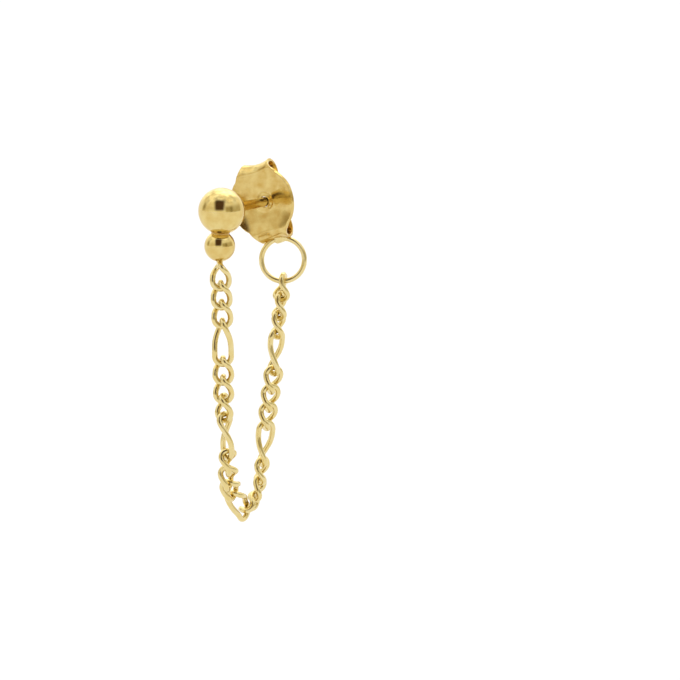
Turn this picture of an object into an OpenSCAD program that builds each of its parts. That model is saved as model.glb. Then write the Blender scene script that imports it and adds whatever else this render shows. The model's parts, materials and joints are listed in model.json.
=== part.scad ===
/* [Ball stud] */
// Diameter of the large ball that sits in front of the lobe
ball_d = 4; // [3:0.1:6]
// Diameter of the small ball under the large one
drop_ball_d = 2.65; // [2:0.05:4]
// Depth that the two balls are let into each other at the solder seam
seam_bite = 0.3; // [0.15:0.05:0.5]
// Radius of the solder fillet round the seam
seam_fillet = 0.1; // [0.05:0.05:0.3]
// Lean of the small ball to one side, turned about the post
stud_lean = 3.5; // [0:0.5:12]
// Depth that the first link is let into the small ball
link_bite = 0.07; // [0.03:0.01:0.15]

/* [Post] */
// Diameter of the ear post
post_d = 0.85; // [0.7:0.05:1.1]
// Length of the post that shows behind the scrolls
post_tip = 2.2; // [1:0.1:4]
// Depth of the notch that the scrolls grip
notch_depth = 0.07; // [0.04:0.01:0.12]
// Width of the notch
notch_w = 0.5; // [0.3:0.05:0.8]
// Length of the tapered end of the post
taper_len = 0.35; // [0.2:0.05:0.8]

/* [Scroll back] */
// Gap between the large ball and the rim of the disc, where the lobe goes
lobe_gap = 5.2; // [4:0.1:8]
// Diameter of the disc
disc_d = 6; // [5.4:0.1:8]
// Thickness of the sheet
sheet_t = 0.28; // [0.2:0.02:0.35]
// Depth of the dish in the front of the disc
dish_depth = 0.65; // [0.2:0.05:0.8]
// Height of the raised collar round the hole
collar_h = 0.16; // [0.05:0.01:0.3]
// Width of the collar
collar_w = 0.45; // [0.3:0.05:0.8]
// Clearance between the post and the hole, all round
post_clear = 0.05; // [0.03:0.01:0.1]
// How far a scroll's waist stands out past the rim of the disc
scroll_past = 0.35; // [0.1:0.05:0.6]
// Width of each scroll from ear to ear
scroll_w = 2.5; // [2:0.1:3]
// Width of the sheet where it leaves the disc and turns into a scroll
shoulder_w = 3.7; // [3.2:0.1:4]
// Outer radius of the bend that starts each scroll
scroll_r = 0.9; // [0.8:0.05:1.2]
// How much further the ears of a scroll stand out than its waist
scroll_flare = 0.2; // [0.1:0.01:0.3]
// Gap between the post and the waist of each scroll
scroll_grip = 0.13; // [0.05:0.01:0.3]
// Outer radius of the hook that ends each scroll
hook_r = 0.4; // [0.36:0.02:0.46]
// Turn of the scroll back about the post
back_turn = 17; // [-30:1:30]

/* [Ring] */
// Outer diameter of the ring under the lower scroll
ring_d = 4.17; // [3.6:0.05:6]
// Wire diameter of the ring
ring_wire = 0.46; // [0.35:0.01:0.6]
// Turn of the ring out of the plane of the disc
ring_turn = 24; // [0:1:40]
// Depth that the ring is let into the scroll
ring_bite = 0.2; // [0.1:0.02:0.3]
// Diameter of the solder bead on that seam
bead_d = 0.8; // [0.6:0.05:1]

/* [Chain] */
// Wire diameter of the links
link_wire = 0.45; // [0.36:0.01:0.5]
// Outer width of a link
link_w = 1.85; // [1.7:0.05:2.1]
// Length that a small link adds to the chain
small_pitch = 1.62; // [1.5:0.02:2]
// Length that a long link adds to the chain
long_pitch = 3.24; // [2.8:0.02:4.4]
// Gap between wires that hang in each other
link_gap = 0.12; // [0.1:0.01:0.14]
// Small links before each long one
small_run = 3; // [2:1:4]
// Links in the chain, with the one on the stud
link_count = 23; // [19:1:25]

/* [Hidden] */
$fn = 64;

GOLD = [0.91, 0.80, 0.47];

// Route of the chain as it hangs: share of the way from the stud to the ring, sway to the side
// as a share of that way, and share of the drop
ROUTE = [
    [0.000, 0.000, 0.000], [0.006, 0.022, 0.232], [0.009, 0.037, 0.625], [0.037, 0.055, 0.774],
    [0.129, -0.008, 0.865], [0.229, -0.061, 0.910], [0.380, -0.117, 0.941], [0.582, -0.169, 0.991],
    [0.743, -0.189, 0.957], [0.833, -0.188, 0.902], [0.880, -0.174, 0.836], [0.883, -0.105, 0.604],
    [0.893, -0.046, 0.422], [0.899, -0.036, 0.386], [0.905, -0.002, 0.231], [1.000, 0.000, 0.000]
];
// Direction that the flat side of the chain faces, turned from the front of the ball
SHOW_TURN = 27;
// How far links are rolled out of that direction: number of the link, angle
ROLL = [
    [4, 0], [5, 3], [6, 12], [7, 34], [8, 58], [9, 82], [10, 106], [11, 125], [12, 133],
    [13, 41], [14, 55], [15, 51], [16, 32], [18, 26], [19, 25], [20, 45], [22, 65], [23, 78]
];

ROUTE_STEPS = 8;
BOW_STEPS = 6;
LEG_STEPS = 2;
WIRE_SIDES = 6;
PROFILE_STEPS = 14;
PROFILE_SPREAD = 1.4;
BAND_STEPS = 8;
SEAM_STEPS = 6;
SEAM_OVERLAP = 0.02;
SETTLE_TRIES = 20;
// Angles round a scroll, from straight out past the rim: start of its bend, and ends of the
// wider turn to the post and of the hook
BEND_FROM = -100;
GRIP_TO = 108;
HOOK_TO = 285;
// The hook starts a hair before the end of the turn to the post, so that they are one sheet
HOOK_FROM = GRIP_TO - 0.05;
// How far past the middle of a scroll's bend the disc is cut straight
DISC_CUT = 0.12;
// The quarter turn of a link starts just before it and ends at three quarters of its length
TWIST_FROM = -0.1;
TWIST_TO = 0.75;

function link_name(k) = str("link_", k < 10 ? "0" : "", k);
function unit(v) = v / norm(v);
function mix(a, b, u) = a + (b - a) * u;
function ease(u) = let (v = min(1, max(0, u))) v * v * (3 - 2 * v);

// Places of the stud
ball_r = ball_d / 2;
drop_r = drop_ball_d / 2;
ball_step = ball_r + drop_r - seam_bite;
ball_at = [0, -ball_r, 0];
drop_at = ball_at + ball_step * [-sin(stud_lean), 0, -cos(stud_lean)];

// Places of the scroll back, with depths measured from the rim of its disc
disc_r = disc_d / 2;
function dish_at(r) = dish_depth * (1 - pow(r / disc_r, 2));
scroll_reach = disc_r + scroll_past;
scroll_mid = scroll_reach - scroll_r;
scroll_depth = dish_at(scroll_mid) + scroll_r;
waist = post_d / 2 + scroll_grip;
grip_r = hook_r + (scroll_mid - waist - hook_r) / -cos(GRIP_TO);
scroll_y = lobe_gap + scroll_depth;
post_len = scroll_y + scroll_r + scroll_flare + post_tip;
ring_r = (ring_d - ring_wire) / 2;
ring_out = scroll_reach + ring_d / 2 - ring_bite;
ring_at = [ring_out * sin(back_turn), scroll_y, -ring_out * cos(back_turn)];
ring_axis = [sin(ring_turn) * cos(back_turn), -cos(ring_turn), sin(ring_turn) * sin(back_turn)];
ring_down = unit(ring_axis * ring_axis[2] - [0, 0, 1]);

// Ends of the chain: where a last bow has its middle, for a link above the first one and for the
// one in the ring
bow_r = (link_w - link_wire) / 2;
hook_room = bow_r - link_wire - link_gap;
bow_step = bow_r + hook_room;
chain_top = drop_at - [0, 0, drop_r + link_wire / 2 - link_bite - hook_room];
chain_end = ring_at + ring_down * (ring_r - ring_wire / 2 + link_wire / 2 + hook_room);
span = chain_end - chain_top;

function is_long(k) = k % (small_run + 1) == 0;
function pitch(k) = is_long(k) ? long_pitch : small_pitch;

// Smooth curve through the rows of the route
last_row = len(ROUTE) - 1;
function row(i) = ROUTE[min(last_row, max(0, i))];
function between(i, u) =
    let (a = row(i - 1), b = row(i), c = row(i + 1), d = row(i + 2))
    0.5 * (2 * b + (c - a) * u + (2 * a - 5 * b + 4 * c - d) * u * u + (3 * b - a - 3 * c + d) * u * u * u);
curve = [
    for (i = [0 : last_row - 1], j = [0 : ROUTE_STEPS - 1]) between(i, j / ROUTE_STEPS),
    ROUTE[last_row]
];
function hang(drop) = [for (p = curve) chain_top + span * p[0] + [norm(span) * p[1], 0, -drop * p[2]]];

// Running total of a list, from nothing to the whole
function totals(v) = [for (i = 0, s = 0; i <= len(v); s = s + (i < len(v) ? v[i] : 0), i = i + 1) s];
function run_lengths(line) = totals([for (i = [1 : len(line) - 1]) norm(line[i] - line[i - 1])]);

// The drop that makes the route as long as the links together
function settle(drop, length, tries) =
    let (lengths = run_lengths(hang(drop)), miss = length - lengths[len(lengths) - 1])
    tries == 0 ? drop : settle(drop + miss / 2, length, tries - 1);
function at_length(line, along, s) =
    let (i = max([for (j = [0 : len(line) - 2]) along[j] <= s ? j : 0]))
    mix(line[i], line[i + 1], (s - along[i]) / (along[i + 1] - along[i]));

// Middles of the last bows of the links, each the pivot that the next link hangs from
ends = totals([for (k = [1 : link_count]) pitch(k)]);
line = hang(settle(ends[link_count] / 2, ends[link_count], SETTLE_TRIES));
along = run_lengths(line);
pivot = [for (s = ends) at_length(line, along, s)];

// Frame of a link as [way it runs, across its flat side, out of that side], rolled as ROLL says
function link_frame(k) =
    let (
        way = unit(pivot[k] - pivot[k - 1]),
        show = [sin(SHOW_TURN), -cos(SHOW_TURN), 0],
        out = unit(show - way * (way * show)),
        across = cross(out, way) * cos(lookup(k, ROLL)) + out * sin(lookup(k, ROLL))
    )
    [way, across, cross(way, across)];

// Centre line of a flat link that lies along its own third axis, as [across, along]
function bow(from, middle) = [
    for (i = [0 : BOW_STEPS])
        let (a = from + 180 * i / BOW_STEPS)
        [bow_r * cos(a), middle + bow_r * sin(a)]
];
function leg(x, from, to) = [for (i = [1 : LEG_STEPS - 1]) [x, mix(from, to, i / LEG_STEPS)]];
function loop_line(half) =
    concat(bow(0, half), leg(-bow_r, half, -half), bow(180, -half), leg(bow_r, -half, half));

// Angle of the twisted link at a share of its length, and its centre line once twisted
function twist_at(share) = 90 * (1 - ease((share - TWIST_FROM) / (TWIST_TO - TWIST_FROM)));
function twisted(p, a) = [p[0] * cos(a), p[0] * sin(a), p[1]];

// Six points round the wire, square to the way it runs
function wire_ring(at, way, flat) =
    let (up = unit(flat - way * (flat * way)), side = cross(way, up))
    [
        for (j = [0 : WIRE_SIDES - 1])
            let (a = 360 * j / WIRE_SIDES)
            at + link_wire / 2 * (up * cos(a) + side * sin(a))
    ];
function link_rings(length) =
    let (
        flat = loop_line(length / 2 - bow_r),
        n = len(flat),
        turn = [for (p = flat) twist_at(p[1] / length + 0.5)],
        centre = [for (i = [0 : n - 1]) twisted(flat[i], turn[i])]
    )
    [
        for (i = [0 : n - 1])
            let (way = unit(centre[(i + 1) % n] - centre[(i + n - 1) % n]))
            each wire_ring(centre[i], way, [-sin(turn[i]), cos(turn[i]), 0])
    ];
function tube_faces(n) = [
    for (i = [0 : n - 1], j = [0 : WIRE_SIDES - 1])
        let (
            a = i * WIRE_SIDES + j,
            b = i * WIRE_SIDES + (j + 1) % WIRE_SIDES,
            c = (i + 1) % n * WIRE_SIDES + (j + 1) % WIRE_SIDES,
            d = (i + 1) % n * WIRE_SIDES + j
        )
        each [[a, c, b], [a, d, c]]
];

// One link of the chain, with the middle of its first bow a step below the pivot it hangs from
module chain_link(k) {
    frame = link_frame(k);
    first = pivot[k - 1] + frame[0] * bow_step;
    middle = (first + pivot[k]) / 2;
    local = link_rings(norm(pivot[k] - first) + 2 * bow_r);
    polyhedron(
        points = [for (v = local) middle + frame[1] * v[0] + frame[2] * v[1] + frame[0] * v[2]],
        faces = tube_faces(len(local) / WIRE_SIDES)
    );
}

// Concave ring of solder where the two balls meet
module seam() {
    a = ball_r + seam_fillet;
    b = drop_r + seam_fillet;
    x = (a * a - b * b + ball_step * ball_step) / (2 * ball_step);
    y = sqrt(a * a - x * x);
    from = 180 + atan2(y, x);
    to = 360 - atan2(y, ball_step - x);
    r = seam_fillet + SEAM_OVERLAP;
    arc = [
        for (i = [0 : SEAM_STEPS])
            let (t = mix(from, to, i / SEAM_STEPS))
            [y + r * sin(t), x + r * cos(t)]
    ];
    rotate_extrude() polygon(concat([[0, arc[0][1]]], arc, [[0, arc[SEAM_STEPS][1]]]));
}

module post() {
    r = post_d / 2;
    notch_r = r - notch_depth;
    rotate([-90, 0, 0]) rotate_extrude() polygon([
        [0, -ball_r],
        [r, -ball_r],
        [r, scroll_y - notch_w],
        [notch_r, scroll_y - notch_w / 2],
        [notch_r, scroll_y + notch_w / 2],
        [r, scroll_y + notch_w],
        [r, post_len - taper_len],
        [r / 2, post_len],
        [0, post_len]
    ]);
}

module ball_stud() {
    color(GOLD) union() {
        translate(ball_at) sphere(r = ball_r);
        translate(drop_at) sphere(r = drop_r);
        translate(ball_at) rotate([0, 180 + stud_lean, 0]) seam();
        post();
        chain_link(1);
    }
}

// Dished disc with a raised collar round its hole, cut straight where the scrolls leave it
module disc() {
    hole_r = post_d / 2 + post_clear;
    radii = [for (i = [0 : PROFILE_STEPS]) mix(hole_r, disc_r, pow(i / PROFILE_STEPS, PROFILE_SPREAD))];
    lip = [for (r = radii) collar_h * (1 - ease((r - hole_r) / collar_w))];
    front = [for (i = [0 : PROFILE_STEPS]) [radii[i], dish_at(radii[i]) - lip[i]]];
    back = [for (i = [PROFILE_STEPS : -1 : 0]) [radii[i], dish_at(radii[i]) + sheet_t]];
    intersection() {
        rotate([-90, 0, 0]) rotate_extrude() polygon(concat(front, back));
        cube([2 * disc_d, 2 * disc_d, 2 * (scroll_mid + DISC_CUT)], center = true);
    }
}

// Strip of sheet across a scroll, as [radius, across], with its ears turned out
module band(r, w) {
    across = [for (i = [0 : BAND_STEPS]) mix(-w / 2, w / 2, i / BAND_STEPS)];
    outer = [for (u = across) [r + scroll_flare * min(1, pow(2 * u / scroll_w, 2)), u]];
    inner = [for (i = [BAND_STEPS : -1 : 0]) outer[i] - [sheet_t, 0]];
    polygon(concat(outer, inner));
}

// Outline that narrows the sheet from its shoulders to the ears of the scroll
module shoulders() {
    far = scroll_reach + scroll_flare;
    slope = (shoulder_w - scroll_w) / 2 / scroll_r;
    rotate([90, 0, 0]) linear_extrude(height = 4 * scroll_r, center = true) polygon([
        [0, shoulder_w / 2],
        [scroll_mid, shoulder_w / 2],
        [far, scroll_w / 2 - slope * scroll_flare],
        [far, slope * scroll_flare - scroll_w / 2],
        [scroll_mid, -shoulder_w / 2],
        [0, -shoulder_w / 2]
    ]);
}

// Sheet bent back from the disc, turned in to the post and hooked in on itself
module scroll() {
    hook_in = grip_r - hook_r;
    translate([0, scroll_depth, 0]) rotate([0, -90, 0]) {
        intersection() {
            translate([scroll_mid, 0, 0])
                rotate_extrude(angle = -BEND_FROM, start = BEND_FROM) band(scroll_r, shoulder_w);
            shoulders();
        }
        translate([scroll_mid, 0, 0]) rotate_extrude(angle = 90, start = 0) band(scroll_r, scroll_w);
        translate([scroll_mid, scroll_r - grip_r, 0]) {
            rotate_extrude(angle = GRIP_TO - 90, start = 90) band(grip_r, scroll_w);
            translate(hook_in * [cos(GRIP_TO), sin(GRIP_TO), 0])
                rotate_extrude(angle = HOOK_TO - HOOK_FROM, start = HOOK_FROM) band(hook_r, scroll_w);
        }
    }
}

module ring() {
    translate([0, scroll_depth, -ring_out]) {
        rotate([90, 0, ring_turn]) rotate_extrude() translate([ring_r, 0]) circle(d = ring_wire);
        translate([0, 0, ring_r]) sphere(d = bead_d);
    }
}

module scroll_back() {
    color(GOLD) translate([0, lobe_gap, 0]) rotate([0, -back_turn, 0]) {
        disc();
        scroll();
        rotate([0, 180, 0]) scroll();
        ring();
    }
}

ball_stud();
scroll_back();
for (k = [2 : link_count]) color(GOLD) chain_link(k);
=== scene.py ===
"""Ear chain earring: a ball stud, a scroll back with a ring, and a chain of twisted links."""

import json
import math

import bmesh
import bpy
from mathutils import Matrix, Vector, noise

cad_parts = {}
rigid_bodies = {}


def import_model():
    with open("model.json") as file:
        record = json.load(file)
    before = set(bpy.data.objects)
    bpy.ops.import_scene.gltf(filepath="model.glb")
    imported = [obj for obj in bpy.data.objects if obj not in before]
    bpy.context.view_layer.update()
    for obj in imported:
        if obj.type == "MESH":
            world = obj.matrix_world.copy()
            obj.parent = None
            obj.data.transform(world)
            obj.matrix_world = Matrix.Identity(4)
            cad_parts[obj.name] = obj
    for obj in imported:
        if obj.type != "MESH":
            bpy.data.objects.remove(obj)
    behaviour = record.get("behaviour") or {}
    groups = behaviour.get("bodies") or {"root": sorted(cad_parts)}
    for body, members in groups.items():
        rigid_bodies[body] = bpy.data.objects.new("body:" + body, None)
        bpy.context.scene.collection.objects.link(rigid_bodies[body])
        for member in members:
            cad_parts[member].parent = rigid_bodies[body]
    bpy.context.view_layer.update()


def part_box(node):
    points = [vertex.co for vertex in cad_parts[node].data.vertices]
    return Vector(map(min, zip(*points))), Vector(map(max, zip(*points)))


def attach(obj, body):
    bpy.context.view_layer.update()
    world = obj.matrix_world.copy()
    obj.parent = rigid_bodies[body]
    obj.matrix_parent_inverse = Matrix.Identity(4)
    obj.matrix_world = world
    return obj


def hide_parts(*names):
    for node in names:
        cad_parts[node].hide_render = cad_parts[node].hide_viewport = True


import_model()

bl_info = {
    "name": "Ear chain earring",
    "version": (1, 0, 0),
    "blender": (4, 5, 0),
    "location": "View3D > Sidebar > Earring",
    "description": "Builds a ball stud earring with a scroll back and a twisted chain",
    "category": "Add Mesh",
}

MM = 0.001

# Route of the chain as it hangs: share of the way from the stud to the ring, sway to the side as
# a share of that way, and share of the drop
ROUTE = (
    (0.000, 0.000, 0.000), (0.006, 0.022, 0.232), (0.009, 0.037, 0.625), (0.037, 0.055, 0.774),
    (0.129, -0.008, 0.865), (0.229, -0.061, 0.910), (0.380, -0.117, 0.941), (0.582, -0.169, 0.991),
    (0.743, -0.189, 0.957), (0.833, -0.188, 0.902), (0.880, -0.174, 0.836), (0.883, -0.105, 0.604),
    (0.893, -0.046, 0.422), (0.899, -0.036, 0.386), (0.905, -0.002, 0.231), (1.000, 0.000, 0.000),
)
# How far links are rolled out of the direction that the chain faces: number of the link, degrees
ROLL = (
    (4, 0), (5, 3), (6, 12), (7, 34), (8, 58), (9, 82), (10, 106), (11, 125), (12, 133),
    (13, 41), (14, 55), (15, 51), (16, 32), (18, 26), (19, 25), (20, 45), (22, 65), (23, 78),
)
ROUTE_STEPS = 8
SETTLE_TRIES = 20
# The quarter turn of a link starts just before it and ends at three quarters of its length
TWIST_FROM = -0.1
TWIST_TO = 0.75
# Slight swelling where each link is soldered shut
LINK_SEAM_BULGE = 0.05
LINK_SEAM_REACH = 0.12 * MM

# Mesh steps
BALL_LEVEL = 6
BEAD_LEVEL = 5
SEAM_STEPS = 16
PROFILE_STEPS = 12
SPIN_STEPS = 96
BOW_STEPS = 24
LEG_STEPS = 14
WIRE_SIDES = 20
RING_STEPS = 128
SHEET_COLUMNS = 17
HOLE_CELLS = 4
DISC_ROWS = 15
BEND_ROWS = 18
GRIP_ROWS = 8
HOOK_ROWS = 22
EDGE_STEPS = 3

# Share of the disc's radius within which its rows are drawn round the hole
ROUND_REACH = 0.55
# Edges of the sheet sharper than this are rounded, in degrees
EDGE_ANGLE = 55
# Slopes of the notch in the post end at this share of its width from its middle
NOTCH_FLOOR = 0.4
# The solder between the balls reaches a hair into both
SOLDER_REACH = 1.02
# Where the sheet lies in the noise that gives its waves
WAVE_PLACE = Vector((3.0, 0.0, 1.0))

# Angles round a scroll, from straight out past the rim of the disc
LEAVE_DISC = -104
BEND_CLEAR = -50
GRIP_TO = 108
HOOK_TO = 285

BOX_TOLERANCE = 0.12 * MM

# Folds of the tent's cloth along one radius of the tent
CLOTH_FOLDS = 3.2
# Way to the soft box overhead, as parts right, up and back, and how wide it is in degrees
SOFT_BOX = (0.10, 0.83, -0.55)
SOFT_BOX_SPREAD = 100
# Openings and panels of the light tent: right, up and back parts of the way to each as the camera
# sees it, half width and half height as slopes, softness of the edge, and light as linear colour
TENT = (
    # Dark room round the camera
    ((-0.14, 0.45, 0.88), 0.44, 0.50, 0.36, (0.090, 0.052, 0.032)),
    # Warm dim gaps above the table, on both sides of the camera
    ((-0.93, 0.16, 0.32), 0.85, 0.18, 0.30, (0.84, 0.80, 0.70)),
    ((-0.95, 0.28, -0.10), 0.16, 0.22, 0.34, (0.46, 0.41, 0.27)),
    ((0.62, 0.13, 0.77), 0.34, 0.24, 0.34, (0.46, 0.41, 0.26)),
    ((0.95, 0.12, 0.20), 0.62, 0.30, 0.40, (0.60, 0.57, 0.46)),
    # Bright panels overhead
    ((0.15, 0.90, -0.40), 0.42, 0.48, 0.55, (2.05, 2.05, 2.05)),
    ((-0.45, 0.58, -0.68), 0.35, 0.30, 0.45, (1.30, 1.30, 1.30)),
)


def length(name, size_mm, text):
    """Property for a length, with its default in millimetres."""
    return bpy.props.FloatProperty(
        name=name, description=text, default=size_mm * MM, min=0.0, unit="LENGTH", precision=5
    )


def angle(name, degrees, text):
    """Property for an angle, with its default in degrees."""
    return bpy.props.FloatProperty(
        name=name, description=text, default=math.radians(degrees), subtype="ANGLE"
    )


def srgb(code):
    """Linear colour of a hex code."""
    parts = [int(code[i : i + 2], 16) / 255 for i in (0, 2, 4)]
    return [c / 12.92 if c <= 0.04045 else ((c + 0.055) / 1.055) ** 2.4 for c in parts]


def colour(name, code, text):
    """Property for a colour, with its default as a hex code."""
    return bpy.props.FloatVectorProperty(
        name=name, description=text, default=srgb(code), subtype="COLOR", min=0.0, max=1.0
    )


class EARRING_PG_stud(bpy.types.PropertyGroup):
    """Sizes of the stud."""

    ball_d: length("Large ball", 4, "Diameter of the large ball in front of the lobe")
    drop_ball_d: length("Small ball", 2.65, "Diameter of the small ball under the large one")
    seam_bite: length("Seam depth", 0.3, "Depth that the two balls are let into each other")
    seam_fillet: length("Seam fillet", 0.1, "Radius of the solder fillet round the seam")
    lean: angle("Lean", 3.5, "Lean of the small ball to one side")
    link_bite: length("Link depth", 0.07, "Depth that the first link is let into the small ball")
    post_d: length("Post", 0.85, "Diameter of the ear post")
    post_tip: length("Post tip", 2.2, "Length of the post behind the scrolls")
    notch_depth: length("Notch depth", 0.07, "Depth of the notch that the scrolls grip")
    notch_w: length("Notch width", 0.5, "Width of the notch")
    taper: length("Post taper", 0.35, "Length of the tapered end of the post")
    foot: length("Post foot", 0.23, "How far the solder at the foot of the post spreads")


class EARRING_PG_back(bpy.types.PropertyGroup):
    """Sizes of the scroll back and its ring."""

    lobe_gap: length("Lobe gap", 5.2, "Gap between the large ball and the rim of the disc")
    disc_d: length("Disc", 6, "Diameter of the disc")
    sheet_t: length("Sheet", 0.28, "Thickness of the sheet")
    dish_depth: length("Dish", 0.65, "Depth of the dish in the front of the disc")
    collar_h: length("Collar height", 0.16, "Height of the raised collar round the hole")
    collar_w: length("Collar width", 0.45, "Width of the collar")
    post_clear: length("Hole clearance", 0.05, "Clearance between the post and the hole")
    scroll_past: length("Scroll reach", 0.35, "How far a scroll stands out past the disc")
    scroll_w: length("Scroll width", 2.5, "Width of each scroll from ear to ear")
    shoulder_w: length("Shoulder width", 3.7, "Width of the sheet where it leaves the disc")
    scroll_r: length("Scroll bend", 0.9, "Outer radius of the bend that starts each scroll")
    scroll_flare: length("Scroll flare", 0.2, "How much further the ears stand out")
    scroll_grip: length("Scroll gap", 0.13, "Gap between the post and each scroll")
    hook_r: length("Scroll hook", 0.4, "Outer radius of the hook that ends each scroll")
    turn: angle("Turn", 17, "Turn of the scroll back about the post")
    rim_round: length("Edge", 0.06, "Rounding of the edges of the sheet")
    wave: length("Wave height", 0.05, "Height of the waves that stamping leaves in the sheet")
    wave_w: length("Wave width", 1.3, "Distance between those waves")
    ring_d: length("Ring", 4.17, "Outer diameter of the ring")
    ring_wire: length("Ring wire", 0.46, "Wire diameter of the ring")
    ring_turn: angle("Ring turn", 24, "Turn of the ring out of the plane of the disc")
    ring_bite: length("Ring depth", 0.2, "Depth that the ring is let into the scroll")
    bead_d: length("Bead", 0.8, "Diameter of the solder bead on the ring")
    bead_run: length("Bead run", 1.1, "How far the solder runs along the ring to one ear")


class EARRING_PG_chain(bpy.types.PropertyGroup):
    """Sizes of the chain."""

    wire: length("Link wire", 0.45, "Wire diameter of the links")
    width: length("Link width", 1.85, "Outer width of a link")
    small_pitch: length("Small link", 1.62, "Length that a small link adds to the chain")
    long_pitch: length("Long link", 3.24, "Length that a long link adds to the chain")
    gap: length("Link gap", 0.12, "Gap between wires that hang in each other")
    plump: length("Fullness", 0.04, "Thickness that fills most of the gap between the wires")
    solder_h: length("First solder", 0.32, "Height of the solder over the first link")
    show_turn: angle("Facing", 27, "Direction that the flat side of the chain faces")
    small_run: bpy.props.IntProperty(
        name="Small links", description="Small links before each long one", default=3, min=1
    )
    count: bpy.props.IntProperty(
        name="Links", description="Links with the one on the stud", default=23, min=2
    )


class EARRING_PG_finish(bpy.types.PropertyGroup):
    """Colours and polish of the metal."""

    gold: colour("Gold", "E1CB86", "Colour of the polished gold")
    deep: colour("Deep gold", "D4B568", "Colour of the gold where polish has thinned it")
    sheet: colour("Sheet", "DBC27C", "Colour of the stamped sheet")
    worn: colour("Worn sheet", "C9A659", "Colour of the sheet between its polished places")
    wire: colour("Wire", "E4D299", "Colour of the drawn wire")
    solder: colour("Solder", "E6D6A2", "Colour of the paler solder")
    # The seam's darker, redder colour is painted shade of the crease between the balls
    seam: colour("Seam", "B98A48", "Colour of the seam between the balls")
    polish: bpy.props.FloatProperty(
        name="Roughness", description="Roughness of the best polish", default=0.07, min=0, max=1
    )


class EARRING_PG_stage(bpy.types.PropertyGroup):
    """Floor, light and camera."""

    floor: colour("Floor", "F4F4F6", "Colour of the floor")
    floor_drop: length("Floor drop", 46, "Depth of the floor below the post")
    floor_size: length("Floor size", 6000, "Width of the floor")
    sky: bpy.props.FloatProperty(
        name="Tent light", description="Strength of the light tent", default=1.06, min=0
    )
    sun: bpy.props.FloatProperty(
        name="Soft box", description="Strength of the overhead light", default=0.2, min=0
    )
    turn: angle("Camera turn", 27, "Turn of the camera round the earring")
    height: angle("Camera height", 7.99, "Height of the camera above the horizon")
    distance: length("Camera distance", 450, "Distance from the camera to the large ball")
    width: length("View width", 57.8, "Width that the picture shows at the large ball")
    right: length("View right", 10.07, "Middle of the picture to the right of the large ball")
    down: length("View down", 10.965, "Middle of the picture below the large ball")


def mix(a, b, share):
    """Value between two, at a share of the way."""
    return a + (b - a) * share


def ease(share):
    """Share that starts and ends slowly."""
    u = min(1.0, max(0.0, share))
    return u * u * (3 - 2 * u)


def polar(radius, degrees):
    """Point on a circle round the origin."""
    a = math.radians(degrees)
    return Vector((radius * math.cos(a), radius * math.sin(a)))


class Places:
    """Where the pieces of the earring sit, worked out from the sizes."""

    def __init__(self, scene):
        stud, back, chain = scene.earring_stud, scene.earring_back, scene.earring_chain
        self.ball_r = stud.ball_d / 2
        self.drop_r = stud.drop_ball_d / 2
        self.ball_step = self.ball_r + self.drop_r - stud.seam_bite
        self.ball_at = Vector((0, -self.ball_r, 0))
        self.drop_way = Vector((-math.sin(stud.lean), 0, -math.cos(stud.lean)))
        self.drop_at = self.ball_at + self.ball_step * self.drop_way

        self.disc_r = back.disc_d / 2
        self.dish_depth = back.dish_depth
        self.hole_r = stud.post_d / 2 + back.post_clear
        self.scroll_reach = self.disc_r + back.scroll_past
        self.scroll_mid = self.scroll_reach - back.scroll_r
        self.scroll_depth = self.dish_at(self.scroll_mid) + back.scroll_r
        self.scroll_y = back.lobe_gap + self.scroll_depth
        waist = stud.post_d / 2 + back.scroll_grip
        self.grip_r = back.hook_r + (self.scroll_mid - waist - back.hook_r) / -polar(1, GRIP_TO).x
        self.post_len = self.scroll_y + back.scroll_r + back.scroll_flare + stud.post_tip
        self.back_turn = Matrix.Rotation(-back.turn, 4, "Y")
        self.back_at = Matrix.Translation((0, back.lobe_gap, 0)) @ self.back_turn

        self.ring_r = (back.ring_d - back.ring_wire) / 2
        self.ring_out = self.scroll_reach + back.ring_d / 2 - back.ring_bite
        self.ring_at = self.back_at @ Vector((0, self.scroll_depth, -self.ring_out))
        self.ring_axis = self.back_turn @ Vector(
            (math.sin(back.ring_turn), -math.cos(back.ring_turn), 0)
        )
        ring_down = (self.ring_axis * self.ring_axis.z - Vector((0, 0, 1))).normalized()

        self.bow_r = (chain.width - chain.wire) / 2
        hook_room = self.bow_r - chain.wire - chain.gap
        self.bow_step = self.bow_r + hook_room
        drop_low = self.drop_r + chain.wire / 2 - stud.link_bite
        self.chain_top = self.drop_at - Vector((0, 0, drop_low - hook_room))
        self.chain_end = self.ring_at + ring_down * (
            self.ring_r - back.ring_wire / 2 + chain.wire / 2 + hook_room
        )
        self.first_bow = self.drop_at - Vector((0, 0, drop_low))

    def dish_at(self, r):
        """Depth of the dish at a distance from the post's axis."""
        return self.dish_depth * (1 - (r / self.disc_r) ** 2)


def new_object(name, mesh, *nodes, slot="polished_gold"):
    """Puts a mesh in the scene as a piece that stands for some nodes."""
    piece = bpy.data.objects.new(name, mesh)
    bpy.context.collection.objects.link(piece)
    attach(piece, "root")
    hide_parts(*nodes)
    return piece


def finish_mesh(name, bm, material):
    """Turns a bmesh into a smooth mesh with outward normals."""
    bmesh.ops.recalc_face_normals(bm, faces=bm.faces)
    for face in bm.faces:
        face.smooth = True
    mesh = bpy.data.meshes.new(name)
    bm.to_mesh(mesh)
    bm.free()
    mesh.materials.append(material)
    return mesh


def ball(name, radius, at, material):
    """Polished ball."""
    bm = bmesh.new()
    bmesh.ops.create_icosphere(
        bm, subdivisions=BALL_LEVEL, radius=radius, matrix=Matrix.Translation(at)
    )
    return finish_mesh(name, bm, material)


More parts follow.
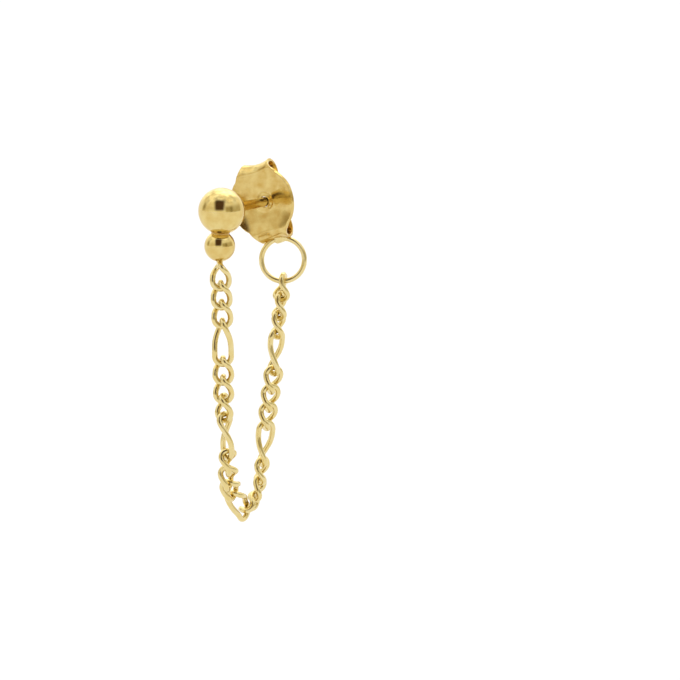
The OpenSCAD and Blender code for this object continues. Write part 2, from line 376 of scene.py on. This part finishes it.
def turned(name, profile, place, material):
    """Spins a profile of (radius, height) pairs about Z, then places it."""
    bm = bmesh.new()
    row = [bm.verts.new((r, 0, z)) for r, z in profile]
    edges = [bm.edges.new(pair) for pair in zip(row, row[1:])]
    bmesh.ops.spin(
        bm, geom=row + edges, axis=(0, 0, 1), cent=(0, 0, 0), angle=math.tau,
        steps=SPIN_STEPS, use_merge=True,
    )
    bmesh.ops.remove_doubles(bm, verts=bm.verts, dist=0.0005 * MM)
    bmesh.ops.transform(bm, matrix=place, verts=bm.verts)
    return finish_mesh(name, bm, material)


def across_wire(at, way, flat):
    """Placement of a circle round a wire, square to the way that it runs."""
    up = (flat - way * flat.dot(way)).normalized()
    turn = Matrix((up, way.cross(up), way)).transposed()
    return Matrix.Translation(at) @ turn.to_4x4()


def swept_loop(name, rounds, radius, place, material):
    """Closed wire: a circle extruded from round to round and joined to its start."""
    bm = bmesh.new()
    bmesh.ops.create_circle(bm, segments=WIRE_SIDES, radius=radius, matrix=rounds[0])
    start = list(bm.edges)
    last = start
    for before, after in zip(rounds, rounds[1:]):
        made = bmesh.ops.extrude_edge_only(bm, edges=last)["geom"]
        verts = [item for item in made if isinstance(item, bmesh.types.BMVert)]
        last = [item for item in made if isinstance(item, bmesh.types.BMEdge) and item.is_boundary]
        bmesh.ops.transform(bm, matrix=after @ before.inverted(), verts=verts)
    bmesh.ops.bridge_loops(bm, edges=start + last)
    bmesh.ops.transform(bm, matrix=place, verts=bm.verts)
    return finish_mesh(name, bm, material)


def check_box(node, pieces):
    """Stops the script if pieces stand elsewhere than the node they replace."""
    bpy.context.view_layer.update()
    graph = bpy.context.evaluated_depsgraph_get()
    corners = []
    for piece in pieces:
        mesh = piece.evaluated_get(graph).to_mesh()
        corners += [v.co.copy() for v in mesh.vertices]
    low = Vector([min(c[i] for c in corners) for i in range(3)])
    high = Vector([max(c[i] for c in corners) for i in range(3)])
    node_low, node_high = (Vector(c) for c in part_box(node))
    off = max(max(abs(v) for v in low - node_low), max(abs(v) for v in high - node_high))
    if off > BOX_TOLERANCE:
        raise RuntimeError(f"{node} is {off / MM:.2f} mm off its place")


# Materials

def add_node(tree, kind, values=None, **settings):
    """Adds a shader node with settings and input values."""
    node = tree.nodes.new(kind)
    for key, value in settings.items():
        setattr(node, key, value)
    for key, value in (values or {}).items():
        node.inputs[key].default_value = value
    return node


def relief(tree, place, size_mm, depth_mm, detail=0.0, under=None):
    """Bump from noise of one size, on top of another bump if there is one."""
    lumps = add_node(tree, "ShaderNodeTexNoise", {"Scale": 1 / (size_mm * MM), "Detail": detail})
    tree.links.new(place, lumps.inputs["Vector"])
    bump = add_node(tree, "ShaderNodeBump", {"Strength": 1.0, "Distance": depth_mm * MM})
    tree.links.new(lumps.outputs["Fac"], bump.inputs["Height"])
    if under:
        tree.links.new(under, bump.inputs["Normal"])
    return bump.outputs["Normal"]


def gold_material(name, tone, other, rough, haze, grain, wave):
    """Gold with a fine grain, slow waves, cloudy polish and slightly uneven colour."""
    material = bpy.data.materials.new(name)
    material.use_nodes = True
    tree = material.node_tree
    link = tree.links.new
    shader = tree.nodes["Principled BSDF"]
    shader.inputs["Metallic"].default_value = 1.0
    place = add_node(tree, "ShaderNodeTexCoord").outputs["Object"]

    # Clouds about 0.8 mm across, where the wheel polished more or less
    clouds = add_node(tree, "ShaderNodeTexNoise", {"Scale": 1 / (0.8 * MM), "Detail": 3.0})
    link(place, clouds.inputs["Vector"])
    tint = add_node(tree, "ShaderNodeMix", data_type="RGBA")
    tint.inputs["A"].default_value = (*tone, 1)
    tint.inputs["B"].default_value = (*other, 1)
    share = add_node(tree, "ShaderNodeMapRange", {"From Min": 0.35, "From Max": 0.7})
    link(clouds.outputs["Fac"], share.inputs["Value"])
    link(share.outputs["Result"], tint.inputs["Factor"])
    link(tint.outputs["Result"], shader.inputs["Base Color"])

    # Faint haze about 0.15 mm across
    spots = add_node(tree, "ShaderNodeTexNoise", {"Scale": 1 / (0.15 * MM), "Detail": 4.0})
    link(place, spots.inputs["Vector"])
    gloss = add_node(
        tree, "ShaderNodeMapRange",
        {"From Min": 0.3, "From Max": 0.75, "To Min": rough, "To Max": rough + haze},
    )
    link(spots.outputs["Fac"], gloss.inputs["Value"])
    link(gloss.outputs["Result"], shader.inputs["Roughness"])

    normal = relief(tree, place, *wave)
    link(relief(tree, place, *grain, detail=2.0, under=normal), shader.inputs["Normal"])
    return material


def materials(scene):
    """Finishes of the earring, made once."""
    finish = scene.earring_finish
    gold, deep, wire = tuple(finish.gold), tuple(finish.deep), tuple(finish.wire)
    sheet, worn = tuple(finish.sheet), tuple(finish.worn)
    solder, seam, polish = tuple(finish.solder), tuple(finish.seam), finish.polish
    # Colours, roughness and haze, then size and depth in mm of the grain and of the slow waves
    wanted = {
        # Mirror polish of the balls
        "mirror_gold": (gold, deep, polish, 0.05, (0.5, 0.0012), (1.6, 0.002)),
        # Sheet that was stamped, bent and tumbled, so that its faces wave
        "stamped_gold": (sheet, worn, polish + 0.03, 0.08, (0.45, 0.003), (1.5, 0.02)),
        # Drawn wire of the links and the ring
        "drawn_gold": (wire, gold, polish + 0.05, 0.08, (0.22, 0.0025), (0.9, 0.006)),
        # Solder, paler and a little rough
        "solder_gold": (solder, gold, polish + 0.12, 0.15, (0.18, 0.006), (0.5, 0.01)),
        # Solder seam between the balls, darker and redder than the balls: painted shade of the
        # crease where they meet
        "shaded_seam_gold": (seam, deep, polish + 0.15, 0.15, (0.18, 0.008), (0.4, 0.02)),
    }
    made = {}
    for name, values in wanted.items():
        made[name] = bpy.data.materials.get(name) or gold_material(name, *values)
    return made


# Stud

def seam_profile(places, stud):
    """Concave ring of solder where the balls meet, measured from the large ball's middle."""
    a = places.ball_r + stud.seam_fillet
    b = places.drop_r + stud.seam_fillet
    x = (a * a - b * b + places.ball_step**2) / (2 * places.ball_step)
    y = math.sqrt(a * a - x * x)
    start = 180 + math.degrees(math.atan2(y, x))
    stop = 360 - math.degrees(math.atan2(y, places.ball_step - x))
    r = stud.seam_fillet * SOLDER_REACH
    arc = [polar(r, mix(start, stop, i / SEAM_STEPS)) for i in range(SEAM_STEPS + 1)]
    line = [(y + p.y, x + p.x) for p in arc]
    return [(0, line[0][1]), *line, (0, line[-1][1])]


class EARRING_OT_stud(bpy.types.Operator):
    """Large ball, small ball, their solder and the ear post"""

    bl_idname = "earring.stud"
    bl_label = "Stud"

    def execute(self, context):
        stud, places = context.scene.earring_stud, Places(context.scene)
        chain = context.scene.earring_chain
        made = materials(context.scene)
        turn = Matrix.Translation(places.ball_at) @ Matrix.Rotation(
            math.pi + stud.lean, 4, "Y"
        )
        meshes = {
            "large_ball": ball("large_ball", places.ball_r, places.ball_at, made["mirror_gold"]),
            "small_ball": ball("small_ball", places.drop_r, places.drop_at, made["mirror_gold"]),
            "ball_solder": turned(
                "ball_solder", seam_profile(places, stud), turn, made["shaded_seam_gold"]
            ),
            "ear_post": turned(
                "ear_post", self.post_profile(places, stud),
                Matrix.Rotation(math.radians(-90), 4, "X"), made["drawn_gold"],
            ),
            "link_solder": turned(
                "link_solder", self.link_solder_profile(chain),
                Matrix.Translation(places.first_bow), made["solder_gold"],
            ),
        }
        for name, mesh in meshes.items():
            new_object(name, mesh, "ball_stud")
        return {"FINISHED"}

    def post_profile(self, places, stud):
        """Post with its notch, a rounded foot of solder and a rounded end."""
        r = stud.post_d / 2
        inside = -places.ball_r / 2
        shares = [i / PROFILE_STEPS for i in range(PROFILE_STEPS + 1)]
        foot = [
            (r + stud.foot * (1 - ease(u)), mix(-stud.foot / 2, stud.foot, u)) for u in shares
        ]
        notch = [
            (r - stud.notch_depth * ease(u),
             places.scroll_y - stud.notch_w * mix(1, NOTCH_FLOOR, u))
            for u in shares
        ]
        notch += [(p, 2 * places.scroll_y - q) for p, q in reversed(notch)]
        end = [
            (r * math.cos(u * math.pi / 2) ** 0.7,
             places.post_len - stud.taper * (1 - math.sin(u * math.pi / 2)))
            for u in shares[:-1]
        ]
        return [(0, inside), (foot[0][0], inside), *foot, *notch, *end, (0, places.post_len)]

    def link_solder_profile(self, chain):
        """Small cone of solder from the first link up into the small ball."""
        r = chain.wire / 2
        shares = [i / PROFILE_STEPS for i in range(PROFILE_STEPS + 1)]
        cone = [
            (r * mix(1.05, 1.9, u * u), mix(-0.05 * MM, chain.solder_h, u)) for u in shares
        ]
        return [(0, -0.15 * MM), (r * 0.8, -0.11 * MM), *cone, (0, chain.solder_h)]


# Scroll back

def sheet_rows(places, back):
    """Rows of the sheet from the post outwards, as (kind, place) pairs."""
    z0 = places.scroll_mid + back.scroll_r * math.cos(math.radians(LEAVE_DISC))
    rows = [("disc", places.hole_r * i / HOLE_CELLS) for i in range(HOLE_CELLS)]
    rows += [("disc", mix(places.hole_r, z0, i / DISC_ROWS)) for i in range(DISC_ROWS)]
    rows += [("bend", mix(LEAVE_DISC, 90, i / BEND_ROWS)) for i in range(BEND_ROWS)]
    rows += [("grip", mix(90, GRIP_TO, i / GRIP_ROWS)) for i in range(GRIP_ROWS)]
    rows += [("hook", mix(GRIP_TO, HOOK_TO, i / HOOK_ROWS)) for i in range(HOOK_ROWS + 1)]
    return rows


def column_share(places, i):
    """Share of the half width at a column, with the first few columns on the hole."""
    hole = places.hole_r / places.disc_r
    if i <= HOLE_CELLS:
        return hole * i / HOLE_CELLS
    return mix(hole, 1, (i - HOLE_CELLS) / (SHEET_COLUMNS - HOLE_CELLS))


def disc_point(places, back, x, z, m):
    """Front of the disc. m is the square distance from the post that is made round."""
    rho = math.hypot(x, z)
    reach = places.disc_r * ROUND_REACH
    if rho > 0 and m < reach:
        pull = 1 - ease((m - places.hole_r) / (reach - places.hole_r))
        scale = mix(1, m / rho, pull)
        x, z = x * scale, z * scale
    r = math.hypot(x, z)
    lip = back.collar_h * (1 - ease((r - places.hole_r) / back.collar_w))
    return Vector((x, places.dish_at(r) - lip, z))


def scroll_point(places, back, kind, a, x):
    """Outer face of the scroll at an angle round its bend."""
    flare = back.scroll_flare * min(1, (2 * x / back.scroll_w) ** 2)
    mid = Vector((places.scroll_mid, places.scroll_depth))
    if kind == "bend":
        centre, r = mid, back.scroll_r
    else:
        centre, r = mid + Vector((0, back.scroll_r - places.grip_r)), places.grip_r
        if kind == "hook":
            centre, r = centre + polar(places.grip_r - back.hook_r, GRIP_TO), back.hook_r
    p = centre + polar(r + flare, a)
    return Vector((x, p.y, p.x))


def sheet_point(places, back, row, share):
    """Front or outer face of the sheet, at a row and a share of its half width."""
    kind, v = row
    if kind == "disc":
        half = math.sqrt(places.disc_r**2 - v * v)
        return disc_point(places, back, share * half, v, max(abs(share) * places.disc_r, v))
    narrow = (back.shoulder_w - back.scroll_w) / 2
    half = back.scroll_w / 2
    if kind == "bend" and v < 0:
        half = back.shoulder_w / 2 - narrow * math.cos(math.radians(v))
    out = scroll_point(places, back, kind, v, share * half)
    if kind == "bend" and v < BEND_CLEAR:
        flat = Vector((out.x, places.dish_at(math.hypot(out.x, out.z)), out.z))
        out = mix(flat, out, ease((v - LEAVE_DISC) / (BEND_CLEAR - LEAVE_DISC)))
    return out


class EARRING_OT_scroll_back(bpy.types.Operator):
    """Dished disc with its collar and two scrolls, bent from one sheet"""

    bl_idname = "earring.scroll_back"
    bl_label = "Scroll back"

    def execute(self, context):
        back, places = context.scene.earring_back, Places(context.scene)
        rows = sheet_rows(places, back)
        last = len(rows) - 1
        bm = bmesh.new()
        bmesh.ops.create_grid(
            bm, x_segments=2 * SHEET_COLUMNS, y_segments=2 * last, size=1.0
        )
        hole = []
        for vert in bm.verts:
            i = round(vert.co.x * SHEET_COLUMNS)
            j = round(vert.co.y * last)
            if abs(i) < HOLE_CELLS and abs(j) < HOLE_CELLS:
                hole.append(vert)
                continue
            share = math.copysign(column_share(places, abs(i)), i)
            side = 1 if j >= 0 else -1
            p = sheet_point(places, back, rows[abs(j)], share * side)
            vert.co = (side * p.x, p.y, side * p.z)
        bmesh.ops.delete(bm, geom=hole, context="VERTS")
        bm.normal_update()
        for vert in bm.verts:
            vert.co += vert.normal * back.wave * noise.noise(vert.co / back.wave_w + WAVE_PLACE)
        bmesh.ops.transform(bm, matrix=places.back_at, verts=bm.verts)
        mesh = finish_mesh("back_sheet", bm, materials(context.scene)["stamped_gold"])
        piece = new_object("back_sheet", mesh, "scroll_back")
        thick = piece.modifiers.new("Sheet", "SOLIDIFY")
        thick.thickness = back.sheet_t
        thick.offset = 1 if mesh.polygons[0].normal.y > 0 else -1
        thick.use_even_offset = True
        edge = piece.modifiers.new("Edge", "BEVEL")
        edge.width = back.rim_round
        edge.segments = EDGE_STEPS
        edge.limit_method = "ANGLE"
        edge.angle_limit = math.radians(EDGE_ANGLE)
        smooth = piece.modifiers.new("Smooth", "SUBSURF")
        smooth.levels = smooth.render_levels = 1
        return {"FINISHED"}


class EARRING_OT_ring(bpy.types.Operator):
    """Wire ring under the lower scroll, with its solder bead"""

    bl_idname = "earring.ring"
    bl_label = "Ring"

    def execute(self, context):
        back, places = context.scene.earring_back, Places(context.scene)
        made = materials(context.scene)
        axis = places.ring_axis
        out = (Vector((0, 0, 1)) - axis * axis.z).normalized()
        bm = bmesh.new()
        bmesh.ops.create_circle(
            bm, segments=WIRE_SIDES, radius=back.ring_wire / 2,
            matrix=across_wire(places.ring_at + places.ring_r * out, axis.cross(out), axis),
        )
        bmesh.ops.spin(
            bm, geom=bm.verts[:] + bm.edges[:], axis=axis, cent=places.ring_at, angle=math.tau,
            steps=RING_STEPS, use_merge=True,
        )
        new_object("ring", finish_mesh("ring", bm, made["drawn_gold"]), "scroll_back")
        bm = bmesh.new()
        bmesh.ops.create_icosphere(bm, subdivisions=BEAD_LEVEL, radius=back.bead_d / 2)
        top = places.back_at @ Vector((0, places.scroll_depth, places.ring_r - places.ring_out))
        up = (top - places.ring_at).normalized()
        along = up.cross(axis)
        for vert in bm.verts:
            # Slow lumps, a few hundredths of the bead high
            n = vert.co.normalized()
            lump = 0.05 * math.sin(5 * n.x + 1) + 0.04 * math.sin(6 * n.z + 2 * n.y)
            vert.co *= 0.97 + lump
            # On one side the solder has run along the ring to the ear of the scroll
            reach = max(0.0, vert.co.dot(along))
            run = reach * back.bead_run / (back.bead_d / 2)
            vert.co += along * (run - reach) - up * (run * run / (3 * places.ring_r))
        bmesh.ops.translate(bm, vec=top, verts=bm.verts)
        new_object(
            "ring_solder", finish_mesh("ring_solder", bm, made["solder_gold"]), "scroll_back"
        )
        check_box("scroll_back", [bpy.data.objects[n] for n in ("back_sheet", "ring")])
        return {"FINISHED"}


# Chain

def curve_through(rows):
    """Smooth curve through the rows of the route."""
    rows = [Vector(row) for row in (rows[0], *rows, rows[-1])]
    points = []
    for a, b, c, d in zip(rows, rows[1:], rows[2:], rows[3:]):
        for j in range(ROUTE_STEPS):
            u = j / ROUTE_STEPS
            points.append(
                0.5 * (2 * b + (c - a) * u + (2 * a - 5 * b + 4 * c - d) * u * u
                       + (3 * b - a - 3 * c + d) * u**3)
            )
    return points + [rows[-1]]


def run_lengths(line):
    """Running length along a line of points."""
    total, lengths = 0.0, [0.0]
    for a, b in zip(line, line[1:]):
        total += (b - a).length
        lengths.append(total)
    return lengths


def hang(places, shape, drop):
    """Route of the chain between its ends, as deep as the drop."""
    span = places.chain_end - places.chain_top
    return [
        places.chain_top + span * p.x + Vector((span.length * p.y, 0, -drop * p.z))
        for p in shape
    ]


def link_pitch(chain, k):
    """Length that a link adds to the chain."""
    return chain.long_pitch if k % (chain.small_run + 1) == 0 else chain.small_pitch


def pivots(places, chain):
    """Middles of the last bows, each the pivot that the next link hangs from."""
    shape = curve_through(ROUTE)
    ends = [0.0]
    for k in range(1, chain.count + 1):
        ends.append(ends[-1] + link_pitch(chain, k))
    drop = ends[-1] / 2
    for _ in range(SETTLE_TRIES):
        drop += (ends[-1] - run_lengths(hang(places, shape, drop))[-1]) / 2
    line = hang(places, shape, drop)
    along = run_lengths(line)
    found = []
    for s in ends:
        i = max(j for j in range(len(line) - 1) if along[j] <= s or j == 0)
        found.append(line[i].lerp(line[i + 1], (s - along[i]) / (along[i + 1] - along[i])))
    return found


def roll_at(k):
    """Roll of a link, in degrees, between the rows of ROLL."""
    if k <= ROLL[0][0]:
        return ROLL[0][1]
    for (a, u), (b, v) in zip(ROLL, ROLL[1:]):
        if k <= b:
            return mix(u, v, (k - a) / (b - a))
    return ROLL[-1][1]


def link_axes(pivot, chain, k):
    """Way a link runs, across its flat side, and out of that side."""
    way = (pivot[k] - pivot[k - 1]).normalized()
    show = Vector((math.sin(chain.show_turn), -math.cos(chain.show_turn), 0))
    out = (show - way * way.dot(show)).normalized()
    roll = math.radians(roll_at(k))
    across = out.cross(way) * math.cos(roll) + out * math.sin(roll)
    return way, across, way.cross(across)


def flat_loop(half, bow_r):
    """Centre line of a flat link, as (across, along)."""
    line = []
    for start, middle in ((0, half), (180, -half)):
        line += [Vector((0, middle)) + polar(bow_r, start + 180 * i / BOW_STEPS)
                 for i in range(BOW_STEPS)]
        x = -bow_r if start == 0 else bow_r
        line += [Vector((x, mix(middle, -middle, i / LEG_STEPS))) for i in range(LEG_STEPS)]
    return line


def link_rounds(places, size):
    """Placements of the wire's circle round a twisted link that lies along Z."""
    flat = flat_loop(size / 2 - places.bow_r, places.bow_r)
    line, flats = [], []
    for p in flat:
        share = (p.y / size + 0.5 - TWIST_FROM) / (TWIST_TO - TWIST_FROM)
        a = math.radians(90 * (1 - ease(share)))
        line.append(Vector((p.x * math.cos(a), p.x * math.sin(a), p.y)))
        flats.append(Vector((-math.sin(a), math.cos(a), 0)))
    seam = line[BOW_STEPS + LEG_STEPS // 2]
    rounds = []
    for i, at in enumerate(line):
        way = (line[(i + 1) % len(line)] - line[i - 1]).normalized()
        bulge = 1 + LINK_SEAM_BULGE * math.exp(-(((at - seam).length / LINK_SEAM_REACH) ** 2))
        rounds.append(across_wire(at, way, flats[i]) @ Matrix.Scale(bulge, 4))
    return rounds


class EARRING_OT_chain(bpy.types.Operator):
    """Chain of twisted oval links, the first soldered to the stud"""

    bl_idname = "earring.chain"
    bl_label = "Chain"

    def execute(self, context):
        chain, places = context.scene.earring_chain, Places(context.scene)
        material = materials(context.scene)["drawn_gold"]
        pivot = pivots(places, chain)
        for k in range(1, chain.count + 1):
            way, across, out = link_axes(pivot, chain, k)
            first = pivot[k - 1] + way * places.bow_step
            middle = (first + pivot[k]) / 2
            size = (pivot[k] - first).length + 2 * places.bow_r
            turn = Matrix((across, out, way)).transposed()
            name = f"link_{k:02d}"
            mesh = swept_loop(
                name, link_rounds(places, size), (chain.wire + chain.plump) / 2,
                Matrix.Translation(middle) @ turn.to_4x4(), material,
            )
            node = "ball_stud" if k == 1 else name
            piece = new_object(f"chain_{name}", mesh, node)
            if k > 1:
                check_box(node, [piece])
        return {"FINISHED"}


# Stage

class EARRING_OT_stage(bpy.types.Operator):
    """Pale floor, soft studio light and the camera"""

    bl_idname = "earring.stage"
    bl_label = "Stage"

    def execute(self, context):
        stage = context.scene.earring_stage
        self.make_floor(context, stage)
        self.make_camera(context, stage)
        self.make_light(context, stage)
        context.scene.view_settings.view_transform = "Standard"
        return {"FINISHED"}

    def make_floor(self, context, stage):
        """Pale matt floor, far below so that it takes no shadow."""
        bm = bmesh.new()
        bmesh.ops.create_grid(
            bm, x_segments=1, y_segments=1, size=stage.floor_size / 2,
            matrix=Matrix.Translation((0, 0, -stage.floor_drop)),
        )
        mesh = bpy.data.meshes.new("floor")
        bm.to_mesh(mesh)
        bm.free()
        material = bpy.data.materials.new("pale_floor")
        material.use_nodes = True
        shader = material.node_tree.nodes["Principled BSDF"]
        shader.inputs["Base Color"].default_value = (*stage.floor, 1)
        shader.inputs["Roughness"].default_value = 0.9
        shader.inputs["Specular IOR Level"].default_value = 0.1
        mesh.materials.append(material)
        floor = bpy.data.objects.new("floor", mesh)
        context.collection.objects.link(floor)

    def axes(self, stage):
        """Right, up and back of the camera."""
        a, e = stage.turn, stage.height
        right = Vector((math.cos(a), math.sin(a), 0))
        up = Vector((-math.sin(a) * math.sin(e), math.cos(a) * math.sin(e), math.cos(e)))
        return right, up, right.cross(up)

    def make_camera(self, context, stage):
        """Camera at the photograph's angle."""
        right, up, back = self.axes(stage)
        target = Places(context.scene).ball_at + right * stage.right - up * stage.down
        data = bpy.data.cameras.new("camera")
        data.sensor_width = 36
        data.lens = data.sensor_width * stage.distance / stage.width
        data.clip_start, data.clip_end = 10 * MM, 20
        camera = bpy.data.objects.new("camera", data)
        camera.matrix_world = (
            Matrix.Translation(target + back * stage.distance)
            @ Matrix((right, up, back)).transposed().to_4x4()
        )
        context.collection.objects.link(camera)
        context.scene.camera = camera

    def make_light(self, context, stage):
        """Light tent, open round the camera and above the table, and a soft box overhead."""
        right, up, back = self.axes(stage)
        world = bpy.data.worlds.new("light_tent")
        context.scene.world = world
        world.use_nodes = True
        tree = world.node_tree
        way = add_node(tree, "ShaderNodeTexCoord").outputs["Generated"]
        light = self.cloth(tree, way, up)
        for parts, wide, high, soft, tint in TENT:
            mask = self.opening(tree, way, right, up, back, parts, wide, high, soft)
            seen = add_node(tree, "ShaderNodeMix", data_type="RGBA")
            seen.inputs["A"].default_value = (1, 1, 1, 1)
            seen.inputs["B"].default_value = (*tint, 1)
            tree.links.new(mask, seen.inputs["Factor"])
            both = add_node(tree, "ShaderNodeVectorMath", operation="MULTIPLY")
            tree.links.new(light, both.inputs[0])
            tree.links.new(seen.outputs["Result"], both.inputs[1])
            light = both.outputs["Vector"]
        background = tree.nodes["Background"]
        background.inputs["Strength"].default_value = stage.sky
        tree.links.new(light, background.inputs["Color"])

        sun = bpy.data.lights.new("soft_box", "SUN")
        sun.energy = stage.sun
        sun.angle = math.radians(SOFT_BOX_SPREAD)
        lamp = bpy.data.objects.new("soft_box", sun)
        toward = right * SOFT_BOX[0] + up * SOFT_BOX[1] + back * SOFT_BOX[2]
        lamp.rotation_mode = "QUATERNION"
        lamp.rotation_quaternion = toward.to_track_quat("Z", "Y")
        context.collection.objects.link(lamp)

    def cloth(self, tree, way, up):
        """Light of the tent: even below, uneven where its cloth hangs in folds overhead."""
        folds = add_node(tree, "ShaderNodeTexNoise", {"Scale": CLOTH_FOLDS, "Detail": 3.0})
        tree.links.new(way, folds.inputs["Vector"])
        uneven = add_node(
            tree, "ShaderNodeMapRange",
            {"From Min": 0.36, "From Max": 0.64, "To Min": 0.7, "To Max": 1.3},
        )
        tree.links.new(folds.outputs["Fac"], uneven.inputs["Value"])
        overhead = add_node(
            tree, "ShaderNodeMapRange", {"From Min": 0.4, "From Max": 0.75},
            interpolation_type="SMOOTHSTEP",
        )
        tree.links.new(self.part_along(tree, way, up), overhead.inputs["Value"])
        both = add_node(tree, "ShaderNodeMix", {"A": 1.0})
        tree.links.new(overhead.outputs["Result"], both.inputs["Factor"])
        tree.links.new(uneven.outputs["Result"], both.inputs["B"])
        return both.outputs["Result"]

    def opening(self, tree, way, right, up, back, parts, wide, high, soft):
        """Mask that is 1 where the tent is open."""
        middle = (right * parts[0] + up * parts[1] + back * parts[2]).normalized()
        across = up.cross(middle).normalized()
        upward = middle.cross(across)
        ahead = self.part_along(tree, way, middle)
        limits = []
        for axis, half in ((across, wide), (upward, high)):
            slope = add_node(tree, "ShaderNodeMath", operation="DIVIDE")
            tree.links.new(self.part_along(tree, way, axis), slope.inputs[0])
            tree.links.new(ahead, slope.inputs[1])
            size = add_node(tree, "ShaderNodeMath", operation="ABSOLUTE")
            tree.links.new(slope.outputs["Value"], size.inputs[0])
            edge = add_node(
                tree, "ShaderNodeMapRange",
                {"From Min": half + soft / 2, "From Max": half - soft / 2},
                interpolation_type="SMOOTHSTEP",
            )
            tree.links.new(size.outputs["Value"], edge.inputs["Value"])
            limits.append(edge.outputs["Result"])
        front = add_node(tree, "ShaderNodeMath", {1: 0.0}, operation="GREATER_THAN")
        tree.links.new(ahead, front.inputs[0])
        limits.append(front.outputs["Value"])
        mask = limits[0]
        for other in limits[1:]:
            both = add_node(tree, "ShaderNodeMath", operation="MULTIPLY")
            tree.links.new(mask, both.inputs[0])
            tree.links.new(other, both.inputs[1])
            mask = both.outputs["Value"]
        return mask

    def part_along(self, tree, way, axis):
        """How far a direction runs along an axis."""
        node = add_node(tree, "ShaderNodeVectorMath", {1: axis}, operation="DOT_PRODUCT")
        tree.links.new(way, node.inputs[0])
        return node.outputs["Value"]


OPERATORS = (
    EARRING_OT_stud, EARRING_OT_scroll_back, EARRING_OT_ring, EARRING_OT_chain, EARRING_OT_stage,
)
GROUPS = {
    "earring_stud": EARRING_PG_stud,
    "earring_back": EARRING_PG_back,
    "earring_chain": EARRING_PG_chain,
    "earring_finish": EARRING_PG_finish,
    "earring_stage": EARRING_PG_stage,
}


class EARRING_PT_panel(bpy.types.Panel):
    """Lists the pieces of the earring."""

    bl_idname = "EARRING_PT_panel"
    bl_label = "Ear chain earring"
    bl_space_type = "VIEW_3D"
    bl_region_type = "UI"
    bl_category = "Earring"

    def draw(self, context):
        for operator in OPERATORS:
            self.layout.operator(operator.bl_idname)
        for name, group in GROUPS.items():
            box = self.layout.box()
            for key in group.__annotations__:
                box.prop(getattr(context.scene, name), key)


def register():
    for cls in (*GROUPS.values(), *OPERATORS, EARRING_PT_panel):
        bpy.utils.register_class(cls)
    for name, group in GROUPS.items():
        setattr(bpy.types.Scene, name, bpy.props.PointerProperty(type=group))


def unregister():
    for name in GROUPS:
        delattr(bpy.types.Scene, name)
    for cls in (EARRING_PT_panel, *reversed(OPERATORS), *reversed(GROUPS.values())):
        bpy.utils.unregister_class(cls)


def main():
    register()
    bpy.ops.earring.stage()
    bpy.ops.earring.stud()
    bpy.ops.earring.scroll_back()
    bpy.ops.earring.ring()
    bpy.ops.earring.chain()


if __name__ == "__main__":
    main()
